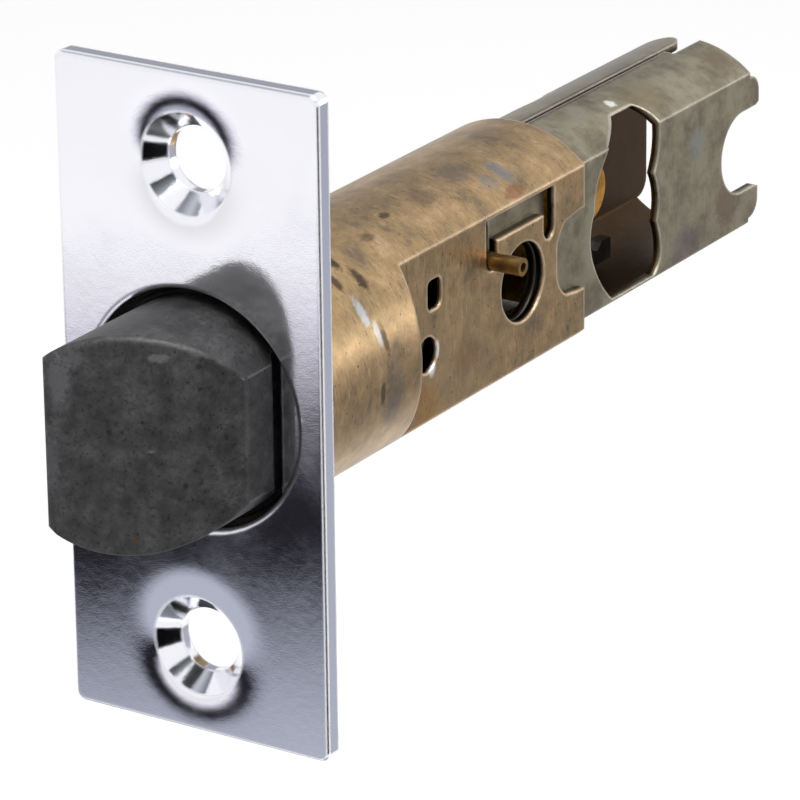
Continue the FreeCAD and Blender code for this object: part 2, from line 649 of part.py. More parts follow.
def make_rear_case():
    """Rolled sheet case that slides in the barrel, with its seam on top and the spindle opening in both walls."""
    tube = new_body("case_tube")
    section = new_sketch(tube, "case_section", "YZ_Plane", "-case_front")
    flattened_section(section, "case_radius", "case_flat")
    flattened_section(section, "case_bore", "case_inner")
    swept(tube, "Pad", "case_roll", section, "case_end - case_front", reverse=True)
    body = new_body("rear_case", joined("case_with_ears", [tube] + case_ears()))
    doc.recompute()

    post = new_sketch(body, "case_post_outline", "XZ_Plane")
    draw_circle(post, "-post_place", "0", "post_radius")
    swept(body, "Pocket", "case_post_hole", post, both=True)

    spindle = new_sketch(body, "spindle_outline", "XZ_Plane")
    draw_outline(spindle, [("%s - backset" % corner[0],) + corner[1:] for corner in SPINDLE_OUTLINE])
    swept(body, "Pocket", "spindle_opening", spindle, both=True)

    stud = new_sketch(body, "stud_outline", "XZ_Plane")
    half = "(stud_radius + stud_play)"
    draw_outline(stud, [
        ("-leg_front + " + half, "stud_rest"),
        ("-leg_front + " + half, "stud_rest + stud_lift", half),
        ("-leg_front - " + half, "stud_rest + stud_lift"),
        ("-leg_front - " + half, "stud_rest", half),
    ])
    swept(body, "Pocket", "stud_window", stud, "case_radius")

    rear_window = new_sketch(body, "rear_window_outline", "XZ_Plane")
    draw_outline(rear_window, [
        ("-rear_window_front", "rear_window_low"),
        ("-rear_window_front", "rear_window_high"),
        ("-rear_window_front - rear_window_long", "rear_window_high"),
        ("-rear_window_front - rear_window_long", "rear_window_low"),
    ])
    swept(body, "Pocket", "rear_window", rear_window, "case_radius")

    post_notch = new_sketch(body, "post_notch_outline", "XZ_Plane")
    middle = "(-post_notch_place - post_notch_half)"
    draw_outline(post_notch, [
        ("-case_end - 1", "post_notch_half + post_notch_flare"),
        ("-case_end + post_notch_flare", "post_notch_half"),
        (middle, "post_notch_half", "-post_notch_half"),
        (middle, "-post_notch_half"),
        ("-case_end + post_notch_flare", "-post_notch_half"),
        ("-case_end - 1", "-post_notch_half - post_notch_flare"),
    ])
    swept(body, "Pocket", "rear_post_notch", post_notch, "case_radius")

    lug = new_sketch(body, "lug_outline", "XZ_Plane")
    draw_outline(lug, [
        ("-case_round_end", "case_radius + 1"),
        ("-case_round_end", "lug_half", "lug_corner"),
        ("-case_end", "lug_half - lug_corner"),
        ("-case_end - 1", "lug_half - lug_corner"),
        ("-case_end - 1", "case_radius + 1"),
    ])
    trim = swept(body, "Pocket", "upper_end_trim", lug, both=True)
    mirrored(body, "end_trims", trim, "XY_Plane")

    seam = new_sketch(body, "seam_outline", "XY_Plane")
    near = "(seam_width / 2 - seam_offset)"
    far = "(-seam_width / 2 - seam_offset)"
    draw_outline(seam, [
        ("1 - case_front", near),
        ("-seam_notch_place", near),
        ("-seam_notch_place", "seam_notch_width"),
        ("-case_end - 1", "seam_notch_width"),
        ("-case_end - 1", far + " - strip_corner"),
        ("-case_round_end", far + " - strip_corner", "-strip_corner"),
        ("-case_round_end + strip_corner", far),
        ("1 - case_front", far),
    ])
    swept(body, "Pocket", "seam", seam, "case_radius + 1", reverse=True)
    return body


def make_case_spacer():
    """Folded channel between the post hole and the spindle opening that keeps the case's walls apart."""
    body = new_body("spacer_channel")
    plan = new_sketch(body, "spacer_plan", "XY_Plane")
    draw_outline(plan, [
        ("-spacer_front", "-spacer_side"),
        ("-spacer_front", "spacer_side"),
        ("-spacer_rear", "spacer_side"),
        ("-spacer_rear", "spacer_side - spacer_sheet"),
        ("-spacer_front - spacer_sheet", "spacer_side - spacer_sheet"),
        ("-spacer_front - spacer_sheet", "spacer_sheet - spacer_side"),
        ("-spacer_rear", "spacer_sheet - spacer_side"),
        ("-spacer_rear", "-spacer_side"),
    ])
    swept(body, "Pad", "spacer_roll", plan, "2 * spacer_half", both=True)
    lobes = [
        cross_rod("near_lobe", "lobe_radius", "spacer_side - spacer_sheet", "spacer_side", "lobe_place", "lobe_level"),
        cross_rod("far_lobe", "lobe_radius", "-spacer_side", "spacer_sheet - spacer_side", "lobe_place", "lobe_level"),
    ]
    keep = block("lobe_trim", "spacer_front + spacer_sheet", "lobe_place + lobe_radius + 1",
                 "-spacer_side", "spacer_side", "-spacer_half", "spacer_half")
    trimmed = doc.addObject("Part::Common", "trimmed_lobes")
    trimmed.Base = joined("lobes", lobes)
    trimmed.Tool = keep
    return joined("case_spacer", [body, trimmed])


def make_bolt():
    """Sintered bolt: round head with two flat sides and a crowned bevel, and a guide flange at the back."""
    body = new_body("bolt_body")
    head = new_sketch(body, "head_section", "YZ_Plane", "-guide_front")
    draw_circle(head, "0", "0", "bolt_radius")
    swept(body, "Pad", "head", head, "bolt_throw + guide_front")
    sides = new_sketch(body, "head_sides", "XY_Plane")
    draw_outline(sides, [
        ("bolt_throw + 1", "-heel_flat"),
        ("-guide_front - 1", "-heel_flat"),
        ("-guide_front - 1", "-bolt_radius - 1"),
        ("bolt_throw + 1", "-bolt_radius - 1"),
    ])
    swept(body, "Pocket", "heel", sides, both=True)
    bevel = new_sketch(body, "bevel_outline", "XY_Plane")
    draw_outline(bevel, [
        ("bolt_throw", "tip_land - heel_flat", "bevel_radius"),
        ("bevel_end", "bevel_flat"),
        ("relief_start", "bevel_flat"),
        ("relief_start - relief_step", "relief_flat"),
        ("-guide_front - 1", "relief_flat"),
        ("-guide_front - 1", "bolt_radius + 1"),
        ("bolt_throw + 1", "bolt_radius + 1"),
        ("bolt_throw + 1", "tip_land - heel_flat"),
    ])
    swept(body, "Pocket", "bevel", bevel, both=True)
    head_back = value("bevel_end") - 0.05
    rounded(body, "soft_head", "bolt_edge", lambda item: item.BoundBox.XMin > head_back)
    guide = new_sketch(body, "guide_section", "YZ_Plane", "-guide_front")
    flattened_section(guide, "(tube_bore - fit_gap)", "guide_flat")
    swept(body, "Pad", "guide", guide, "guide_length", reverse=True)
    slot = new_sketch(body, "drawbar_slot", "YZ_Plane", "-guide_rear")
    across = "(drawbar_thickness / 2 + side_gap)"
    up = "(drawbar_half + side_gap)"
    draw_outline(slot, [
        (across, "-" + up),
        (across, up),
        ("-" + across, up),
        ("-" + across, "-" + up),
    ])
    swept(body, "Pocket", "rear_slot", slot, "guide_rear - drawbar_front + play", reverse=True)
    hole = cross_rod("bolt_pin_hole", "pin_radius", "-bolt_radius", "bolt_radius", "pin_place", "0")
    return cut_from("bolt", body, hole)


def make_cross_pin():
    """Pin through the bolt and the drawbar."""
    return cross_rod("bolt_cross_pin", "pin_radius", "-guide_flat", "guide_flat", "pin_place", "0")


def make_drawbar():
    """Stamped fork from the bolt through the spring and round the post hole, with two notches in each rail."""
    body = new_body("drawbar_blank")
    outline = new_sketch(body, "drawbar_outline", "XZ_Plane")
    root = "(-fork_root - fork_half)"
    step = "-flare_place"
    draw_outline(outline, [
        ("-drawbar_front", "-drawbar_half"),
        ("-drawbar_front", "drawbar_half"),
        (step, "drawbar_half"),
        (step, "rail_outer"),
        ("-rail_end", "rail_outer"),
        ("-rail_end", "rail_inner"),
        ("-flare_end", "rail_inner"),
        ("-flare_end", "fork_half"),
        (root, "fork_half", "-fork_half"),
        (root, "-fork_half"),
        ("-flare_end", "-fork_half"),
        ("-flare_end", "-rail_inner"),
        ("-rail_end", "-rail_inner"),
        ("-rail_end", "-rail_outer"),
        (step, "-rail_outer"),
        (step, "-drawbar_half"),
    ])
    swept(body, "Pad", "drawbar_sheet", outline, "drawbar_thickness", both=True)
    tools = [cross_rod("drawbar_pin_hole", "pin_radius", "-bolt_radius", "bolt_radius", "pin_place", "0")]
    for place_name, place in (("near_backset", "clip_place"), ("far_backset", "clip_place + backset_step")):
        for sign_name, low, high in (("top", "rail_outer - tooth_deep", "rail_outer + 1"),
                                     ("bottom", "-rail_outer - 1", "tooth_deep - rail_outer")):
            tools.append(block("notch_%s_%s" % (place_name, sign_name), place + " - tooth_long / 2",
                               place + " + tooth_long / 2", "-drawbar_thickness", "drawbar_thickness", low, high))
    return cut_from("drawbar", body, joined("drawbar_tools", tools))


def make_bolt_spring():
    """Compression spring between the bolt and its seat, round the drawbar."""
    length = "(seat_place - guide_rear - 2 * side_gap)"
    coil = helix_spring("bolt_spring", "spring_radius", "spring_wire", "spring_turns", length)
    coil.Placement = Placement(Vector(0, 0, 0), Rotation(Vector(0, 1, 0), -90))
    bind(coil, "Placement.Base.x", "-guide_rear - side_gap - spring_wire / 2")
    return coil


def make_arm(name, sign):
    """Pull arm with a hook behind the spindle; the sign puts it above or below."""
    body = new_body(name + "_blank")
    outline = new_sketch(body, name + "_outline", "XZ_Plane", "plate_side")
    corners = [
        ("-arm_front", "rail_inner"),
        ("-arm_front", "rail_outer"),
        ("-hook_front - hook_long", "rail_outer"),
        ("-hook_front - hook_long", "hook_inner"),
        ("-hook_front - hook_slope", "hook_inner"),
        ("-hook_front", "rail_inner"),
    ]
    if sign < 0:
        corners = [(across, "-(%s)" % up) for across, up in corners]
    draw_outline(outline, corners)
    swept(body, "Pad", name + "_sheet", outline, "drawbar_thickness")
    middle = "%d * rail_middle" % sign
    hole = cross_rod(name + "_rivet_hole", "rivet_radius", "-bolt_radius", "0", "clip_place", middle)
    return cut_from(name, body, hole)


def make_clip(name, sign):
    """Spring clip over rail and arm whose tooth drops into the drawbar's notch."""
    def slab(part, front, rear, low_side, high_side, bottom, top):
        if sign > 0:
            return block(part, front, rear, low_side, high_side, bottom, top)
        return block(part, front, rear, low_side, high_side, "-(%s)" % top, "-(%s)" % bottom)

    front = "clip_place - clip_long / 2"
    rear = "clip_place + clip_long / 2"
    low = "rail_inner + side_gap"
    pieces = [
        slab(name + "_back", front, rear, "-arm_side - clip_sheet", "plate_side + clip_sheet",
             "clip_top", "clip_top + clip_sheet"),
        slab(name + "_near_leg", front, rear, "plate_side", "plate_side + clip_sheet", low, "clip_top"),
        slab(name + "_far_leg", front, rear, "-arm_side - clip_sheet", "-arm_side", low, "clip_top"),
        slab(name + "_tooth", "clip_place - tooth_long / 2 + side_gap", "clip_place + tooth_long / 2 - side_gap",
             "-drawbar_thickness / 2", "drawbar_thickness / 2", "rail_outer - tooth_deep + side_gap", "clip_top"),
    ]
    middle = "%d * rail_middle" % sign
    hole = cross_rod(name + "_hole", "rivet_radius", "-bolt_radius", "-drawbar_thickness", "clip_place", middle)
    return cut_from(name, joined(name + "_blank", pieces), hole)


def make_clip_rivets():
    """The two rivets that hold the clips on the arms."""
    rivets = []
    for name, sign in (("upper_rivet", 1), ("lower_rivet", -1)):
        rivets.append(cross_rod(name, "rivet_radius", "-arm_side - clip_sheet", "-plate_side",
                                "clip_place", "%d * rail_middle" % sign))
    return grouped("clip_rivets", rivets)


def make_stud():
    """Hollow brass stud that stands out of the slot."""
    stud = cross_rod("stud_shank", "stud_radius", "stud_foot", "flat_half + stud_reach", "leg_front", "stud_rest")
    bore = cross_rod("stud_hole", "stud_bore", "flat_half - stud_reach", "flat_half + stud_reach + 1",
                     "leg_front", "stud_rest")
    return cut_from("adjuster_stud", stud, bore)


def make_slide():
    """Small folded slide behind the near wall that carries the stud and stands under the spring."""
    plate = block("slide_plate", "leg_front - slide_half", "leg_front + slide_half", "stud_foot", "slide_side",
                  "slide_low", "stud_rest + slide_top")
    tongue = block("slide_tongue", "leg_front - tongue_half", "leg_front + tongue_half", "tongue_inner",
                   "stud_foot", "slide_low", "slide_low + slide_thickness")
    hole = cross_rod("slide_hole", "stud_radius", "0", "bolt_radius", "leg_front", "stud_rest")
    return cut_from("adjuster_slide", joined("slide_fold", [plate, tongue]), hole)


def make_adjuster_spring():
    """Small spring that keeps the stud down at the foot of its leg."""
    coil = helix_spring("adjuster_spring", "coil_radius", "coil_wire", "coil_turns", "(coil_top - coil_foot)")
    bind(coil, "Placement.Base.x", "-leg_front")
    bind(coil, "Placement.Base.y", "coil_side")
    bind(coil, "Placement.Base.z", "coil_foot + coil_wire / 2")
    return coil


def moulded(item, label):
    """Gives the finished sub-part its label."""
    item.Label = label
    return item


nodes = [
    moulded(make_faceplate(), "faceplate"),
    moulded(make_barrel(), "barrel"),
    moulded(make_collar(), "bolt_collar"),
    moulded(make_seat(), "spring_seat"),
    moulded(make_rear_case(), "rear_case"),
    moulded(make_case_spacer(), "case_spacer"),
    moulded(make_bolt(), "bolt"),
    moulded(make_cross_pin(), "bolt_cross_pin"),
    moulded(make_drawbar(), "drawbar"),
    moulded(make_bolt_spring(), "bolt_spring"),
    moulded(make_arm("upper_pull_arm", 1), "upper_pull_arm"),
    moulded(make_arm("lower_pull_arm", -1), "lower_pull_arm"),
    moulded(make_clip("upper_link_clip", 1), "upper_link_clip"),
    moulded(make_clip("lower_link_clip", -1), "lower_link_clip"),
    moulded(make_clip_rivets(), "clip_rivets"),
    moulded(make_stud(), "adjuster_stud"),
    moulded(make_slide(), "adjuster_slide"),
    moulded(make_adjuster_spring(), "adjuster_spring"),
]
doc.recompute()

for item in doc.Objects:
    if "Invalid" in item.State or "Error" in item.State:
        raise RuntimeError("%s failed: %s" % (item.Name, item.State))
for item in nodes:
    if item.Shape.isNull() or not item.Shape.isValid() or not item.Shape.Solids:
        raise RuntimeError("%s has no valid solid" % item.Label)
for item in nodes:
    item.Shape.exportStep("parts/%s.step" % item.Label)
    box = item.Shape.BoundBox
    print("%-18s %d solid %8.1f mm3  x %6.2f %6.2f  y %6.2f %6.2f  z %6.2f %6.2f" % (
        item.Label, len(item.Shape.Solids), item.Shape.Volume,
        box.XMin, box.XMax, box.YMin, box.YMax, box.ZMin, box.ZMax))
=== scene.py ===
import json
from collections import namedtuple

import bpy
from mathutils import Matrix, Vector


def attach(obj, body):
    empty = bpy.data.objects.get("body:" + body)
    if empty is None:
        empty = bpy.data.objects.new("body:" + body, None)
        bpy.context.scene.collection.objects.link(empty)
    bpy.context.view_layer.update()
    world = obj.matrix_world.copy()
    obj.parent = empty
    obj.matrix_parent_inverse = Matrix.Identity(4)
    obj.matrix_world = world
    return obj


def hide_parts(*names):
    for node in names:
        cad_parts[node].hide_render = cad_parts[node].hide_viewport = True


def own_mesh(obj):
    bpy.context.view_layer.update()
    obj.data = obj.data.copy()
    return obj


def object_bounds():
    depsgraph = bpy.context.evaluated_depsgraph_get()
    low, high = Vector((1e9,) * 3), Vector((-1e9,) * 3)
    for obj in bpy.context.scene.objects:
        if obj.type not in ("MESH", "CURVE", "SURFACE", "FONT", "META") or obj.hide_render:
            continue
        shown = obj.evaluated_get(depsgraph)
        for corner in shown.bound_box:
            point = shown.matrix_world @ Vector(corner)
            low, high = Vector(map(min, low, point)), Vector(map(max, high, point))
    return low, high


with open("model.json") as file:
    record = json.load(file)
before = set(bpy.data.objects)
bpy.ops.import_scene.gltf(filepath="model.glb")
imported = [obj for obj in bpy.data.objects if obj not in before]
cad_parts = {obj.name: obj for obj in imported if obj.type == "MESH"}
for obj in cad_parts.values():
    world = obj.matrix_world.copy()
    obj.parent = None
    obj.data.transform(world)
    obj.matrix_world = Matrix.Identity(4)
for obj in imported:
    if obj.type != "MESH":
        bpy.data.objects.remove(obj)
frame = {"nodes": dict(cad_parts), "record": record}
cad_low, cad_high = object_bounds()
scene = bpy.context.scene
mounts = {mount["name"]: mount for mount in frame["record"]["mounts"]}
MM = 0.001

# The inputs of a Math or Vector Math node, in order
A, B, C = 0, 1, 2
# The inputs of a Mix node that lays one colour over another
SHARE, UNDER, OVER = 0, 6, 7
# Nearly all values of a noise texture lie between these two
NOISE_LOW, NOISE_HIGH = 0.3, 0.7

# A stain, scrape, rub or painted highlight, with its centre and radius in millimetres. The squeeze
# lengthens it along an axis where it is below 1 and shortens it where it is above 1. The strength is how
# well its colour covers, and the wander how ragged its outline is.
Mark = namedtuple("Mark", "centre radius squeeze colour strength wander")
ROUND = (1, 1, 1)
ALONG = (0.7, 1, 1)
AROUND = (1.3, 0.5, 0.5)


def linear(code):
    """An sRGB hex code as a linear colour."""
    parts = [int(code[index:index + 2], 16) / 255 for index in (1, 3, 5)]
    return tuple(part / 12.92 if part <= 0.04045 else ((part + 0.055) / 1.055) ** 2.4
                 for part in parts) + (1.0,)


def feed(tree, node, inputs):
    """Sets a node's inputs: a node or socket is linked, and a hex colour or a plain value is kept."""
    for name, source in inputs.items():
        if isinstance(source, bpy.types.Node):
            source = next(output for output in source.outputs if output.enabled)
        if isinstance(source, bpy.types.NodeSocket):
            tree.links.new(source, node.inputs[name])
        else:
            node.inputs[name].default_value = linear(source) if isinstance(source, str) else source


def add_node(tree, kind, inputs=None, settings=None, stops=None):
    """Adds a node with its inputs and settings; stops are a ramp's places and colours or grey levels."""
    node = tree.nodes.new(kind)
    for name, setting in (settings or {}).items():
        setattr(node, name, setting)
    feed(tree, node, inputs or {})
    for index, (place, colour) in enumerate(stops or []):
        elements = node.color_ramp.elements
        if index == 0:
            elements.remove(elements[1])
        element = elements[0] if index == 0 else elements.new(place)
        element.position = place
        element.color = linear(colour) if isinstance(colour, str) else (colour, colour, colour, 1.0)
    return node


def new_material(name, metallic):
    """A material, its node tree, its shader and the object coordinates in millimetres.

    A texture on these coordinates has its Scale in patches for each millimetre.
    """
    material = bpy.data.materials.new(name)
    material.use_nodes = True
    tree = material.node_tree
    shader = tree.nodes["Principled BSDF"]
    feed(tree, shader, {"Metallic": metallic})
    metres = add_node(tree, "ShaderNodeTexCoord")
    place = add_node(tree, "ShaderNodeVectorMath", {A: metres.outputs["Object"], "Scale": 1 / MM},
                     {"operation": "SCALE"})
    return material, tree, shader, place


def add_marks(tree, place, colour, marks):
    """Lays marks over a colour, one after another, with outlines that a fine noise makes ragged."""
    ragged = add_node(tree, "ShaderNodeTexNoise", {
        "Vector": place, "Scale": 1.9, "Detail": 8.0, "Roughness": 0.8})
    for mark in marks:
        off = add_node(tree, "ShaderNodeVectorMath", {A: place, B: mark.centre},
                       {"operation": "SUBTRACT"})
        shaped = add_node(tree, "ShaderNodeVectorMath", {A: off, B: mark.squeeze},
                          {"operation": "MULTIPLY"})
        away = add_node(tree, "ShaderNodeVectorMath", {A: shaped}, {"operation": "LENGTH"})
        # The noise is a half on average, which brings the outline in by one wander
        bent = add_node(tree, "ShaderNodeMath", {
            A: ragged, B: -2.0 * mark.radius * mark.wander, C: away.outputs["Value"]},
            {"operation": "MULTIPLY_ADD"})
        cover = add_node(tree, "ShaderNodeMapRange", {
            "Value": bent, "From Min": mark.radius * (1.0 - mark.wander),
            "From Max": mark.radius * (0.4 - mark.wander), "To Max": mark.strength},
            {"interpolation_type": "SMOOTHSTEP"})
        colour = add_node(tree, "ShaderNodeMix", {SHARE: cover, UNDER: colour, OVER: mark.colour},
                          {"data_type": "RGBA"})
    return colour


def soft_edges(tree, radius):
    """The normal with edges rounded by a radius in millimetres, and 1 on an edge, 0 away from it."""
    shape = add_node(tree, "ShaderNodeNewGeometry")
    rounded = add_node(tree, "ShaderNodeBevel", {"Radius": radius * MM}, {"samples": 6})
    turned = add_node(tree, "ShaderNodeVectorMath", {A: rounded, B: shape.outputs["Normal"]},
                      {"operation": "DOT_PRODUCT"})
    # The cosine between both normals falls from 1 as the rounding turns away from the face
    crest = add_node(tree, "ShaderNodeMapRange", {
        "Value": turned.outputs["Value"], "From Min": 0.985, "From Max": 0.9})
    return rounded, crest


def pale_edges_wear_and_highlight(tree, radius, colour, pale_edge_colour, cloud):
    """The rounded normal, and the colour with its edges painted pale where the cloud is strong: partly
    wear, partly a painted highlight along the creases.
    """
    rounded, crest = soft_edges(tree, radius)
    # Pale on the edges: a painted highlight along the creases, and wear
    pale_share = add_node(tree, "ShaderNodeMath", {A: crest, B: cloud}, {"operation": "MULTIPLY"})
    worn_and_highlit = add_node(tree, "ShaderNodeMix", {SHARE: pale_share, UNDER: colour, OVER: pale_edge_colour},
                    {"data_type": "RGBA"})
    return rounded, worn_and_highlit


def inner_faces(tree, place, tube, flats):
    """Where a spot lies inside the middle of a rolled tube's sheet, and inside that of its flats.

    tube and flats are the distances in millimetres from the axis at which the inside begins.
    """
    fade = 0.15
    axes = add_node(tree, "ShaderNodeSeparateXYZ", {"Vector": place})
    section = add_node(tree, "ShaderNodeCombineXYZ", {"Y": axes.outputs["Y"], "Z": axes.outputs["Z"]})
    radius = add_node(tree, "ShaderNodeVectorMath", {A: section}, {"operation": "LENGTH"})
    in_tube = add_node(tree, "ShaderNodeMapRange", {
        "Value": radius.outputs["Value"], "From Min": tube, "From Max": tube - fade})
    side = add_node(tree, "ShaderNodeMath", {A: axes.outputs["Y"]}, {"operation": "ABSOLUTE"})
    in_flats = add_node(tree, "ShaderNodeMapRange", {
        "Value": side, "From Min": flats, "From Max": flats - fade})
    return axes, in_tube, in_flats


def plate_chrome():
    """Bright chrome on stamped steel: a mirror with orange peel and a dish round each screw hole."""
    material, tree, shader, place = new_material("bright_chrome_on_stamped_steel", metallic=1.0)
    # Smears of handling, about 6 mm wide, make parts of the mirror duller
    smear = add_node(tree, "ShaderNodeTexNoise", {
        "Vector": place, "Scale": 0.16, "Detail": 4.0, "Roughness": 0.6})
    rough = add_node(tree, "ShaderNodeMapRange", {
        "Value": smear, "From Min": 0.4, "From Max": NOISE_HIGH, "To Min": 0.07, "To Max": 0.15})
    # Orange peel 0.8 mm wide and the sheet's grain of 0.15 mm break the reflections up. The real
    # grain is finer, and this is as fine as the picture can show.
    peel = add_node(tree, "ShaderNodeTexNoise", {
        "Vector": place, "Scale": 1.3, "Detail": 1.0, "Roughness": 0.5})
    grain = add_node(tree, "ShaderNodeTexNoise", {
        "Vector": place, "Scale": 7.0, "Detail": 2.0, "Roughness": 0.6})
    peel_depth, grain_depth, dish_depth = 0.004, 0.0034, 0.3
    waves = add_node(tree, "ShaderNodeMath", {A: peel, B: peel_depth}, {"operation": "MULTIPLY"})
    sheet = add_node(tree, "ShaderNodeMath", {A: grain, B: grain_depth, C: waves},
                     {"operation": "MULTIPLY_ADD"})
    # The sheet was drawn in round each screw hole when the dimples were pressed
    hole_level = mounts["faceplate_screws"]["dims"]["spacing_y_mm"] / 2
    dish_outside, dish_inside = 8.0, 4.4
    axes = add_node(tree, "ShaderNodeSeparateXYZ", {"Vector": place})
    level = add_node(tree, "ShaderNodeMath", {A: axes.outputs["Z"]}, {"operation": "ABSOLUTE"})
    off = add_node(tree, "ShaderNodeMath", {A: level, B: hole_level}, {"operation": "SUBTRACT"})
    across = add_node(tree, "ShaderNodeCombineXYZ", {"Y": axes.outputs["Y"], "Z": off})
    away = add_node(tree, "ShaderNodeVectorMath", {A: across}, {"operation": "LENGTH"})
    near = add_node(tree, "ShaderNodeMapRange", {
        "Value": away.outputs["Value"], "From Min": dish_outside, "From Max": dish_inside})
    dish = add_node(tree, "ShaderNodeMath", {A: near, B: 3.0}, {"operation": "POWER"})
    height = add_node(tree, "ShaderNodeMath", {A: dish, B: -dish_depth, C: sheet},
                      {"operation": "MULTIPLY_ADD"})
    rounded = soft_edges(tree, 0.35)[0]
    relief = add_node(tree, "ShaderNodeBump", {"Height": height, "Distance": MM, "Normal": rounded})
    feed(tree, shader, {"Base Color": "#f2f2f8", "Roughness": rough, "Normal": relief})
    return material


def barrel_dichromate():
    """Zinc plate passivated gold-brown: clouded, scratched round the tube, rubbed pale and stained, with
    painted highlights on its edges and round side and a painted shade inside.
    """
    material, tree, shader, place = new_material("gold_brown_dichromate_on_zinc", metallic=1.0)
    # The film's clouds are about 3 mm wide
    cloud = add_node(tree, "ShaderNodeTexNoise", {
        "Vector": place, "Scale": 0.3, "Detail": 7.0, "Roughness": 0.7})
    tint = add_node(tree, "ShaderNodeValToRGB", {"Fac": cloud}, stops=[
        (0.32, "#7c6a58"), (0.43, "#96805f"), (0.55, "#aa8e69"), (0.66, "#bba07d"), (0.76, "#baa594")])
    # Scratches 0.15 mm wide and 1.1 mm long run round the tube: pale where they cut the film, dark
    # where dirt fills them
    turn = add_node(tree, "ShaderNodeMapping", {"Vector": place, "Scale": (7.0, 0.9, 0.9)})
    scratch = add_node(tree, "ShaderNodeTexNoise", {
        "Vector": turn, "Scale": 1.0, "Detail": 4.0, "Roughness": 0.65})
    thin = add_node(tree, "ShaderNodeValToRGB", {"Fac": scratch}, stops=[(0.58, 0.0), (0.72, 0.5)])
    streaked = add_node(tree, "ShaderNodeMix", {SHARE: thin, UNDER: tint, OVER: "#d9bf9c"},
                        {"data_type": "RGBA"})
    deep = add_node(tree, "ShaderNodeValToRGB", {"Fac": scratch}, stops=[(0.33, 0.6), (0.42, 0.0)])
    lined = add_node(tree, "ShaderNodeMix", {SHARE: deep, UNDER: streaked, OVER: "#5a4a3c"},
                     {"data_type": "RGBA"})
    marked = add_marks(tree, place, lined, [
        # The flat is paler in front
        Mark((-28.0, 7.25, -6.0), 10.0, ROUND, "#b79a76", 0.45, 0.3),
        # Blue-grey and brown rubs along the top
        Mark((-40.4, 4.6, 9.5), 1.2, (1, 0.6, 0.6), "#717983", 0.7, 1.0),
        Mark((-37.9, 4.9, 9.3), 1.0, (0.7, 0.8, 0.8), "#777c84", 0.4, 1.0),
        Mark((-36.2, 2.6, 10.2), 2.0, ALONG, "#6a6560", 0.5, 0.9),
        Mark((-30.0, 3.4, 10.0), 1.6, ALONG, "#5c5048", 0.45, 0.9),
        # Black scrapes near the plate and two small ones behind them
        Mark((-13.6, 4.6, 9.5), 0.9, AROUND, "#2c2420", 0.85, 0.8),
        Mark((-14.6, 6.9, 8.0), 0.9, AROUND, "#2c2420", 0.8, 0.8),
        Mark((-11.8, 6.2, 8.5), 0.8, AROUND, "#3a2e28", 0.8, 0.8),
        Mark((-19.7, 4.3, 9.6), 0.8, ALONG, "#4a3b32", 0.6, 0.9),
        Mark((-24.1, 3.2, 10.0), 0.6, (0.6, 1, 1), "#3d302a", 0.8, 0.9),
        # Pale blue-white on the round side: partly a scrape down to pale zinc, partly a painted
        # highlight, with black dirt at its lower end
        Mark((-12.2, 8.6, 6.1), 0.8, (1.2, 0.45, 0.45), "#bcc3ca", 0.7, 1.0),
        Mark((-13.0, 9.7, 4.2), 0.7, (1.2, 0.45, 0.45), "#b4b9be", 0.6, 1.0),
        Mark((-13.6, 9.9, 3.6), 0.7, (1.3, 0.4, 0.4), "#2e2826", 0.7, 0.8),
        Mark((-14.2, 10.5, -1.2), 2.4, AROUND, "#55555a", 0.5, 0.9),
        Mark((-12.3, 10.5, -0.6), 0.6, (1.2, 0.4, 0.4), "#2a2626", 0.7, 0.8),
        # Bare bright metal at the round window
        Mark((-25.0, 7.25, -3.0), 0.75, (1, 1, 0.6), "#f4f2ee", 0.95, 0.2),
        Mark((-25.9, 7.25, -1.7), 0.5, (1.2, 1, 0.5), "#f4f2ee", 0.95, 0.2),
        # Amber, brown and rust-red stains
        Mark((-24.0, 7.25, -6.4), 2.6, (1, 1, 0.8), "#a8741f", 0.4, 0.8),
        Mark((-30.5, 7.25, -3.7), 2.2, ALONG, "#7a5a44", 0.4, 0.8),
        Mark((-39.5, 6.6, 8.2), 1.0, (0.5, 1, 1), "#7a3f2c", 0.5, 0.7),
    ])
    # Dark specks of dirt, a few tenths of a millimetre wide
    grit = add_node(tree, "ShaderNodeTexNoise", {
        "Vector": place, "Scale": 2.3, "Detail": 5.0, "Roughness": 0.75})
    specks = add_node(tree, "ShaderNodeValToRGB", {"Fac": grit}, stops=[(0.32, 0.85), (0.38, 0.0)])
    dirty = add_node(tree, "ShaderNodeMix", {SHARE: specks, UNDER: marked, OVER: "#2e2622"},
                     {"data_type": "RGBA"})
    # The pale pinkish edges are a painted highlight along the creases and rims
    rounded, worn_and_highlit = pale_edges_wear_and_highlight(tree, 0.45, dirty, "#e6d0ba", cloud)
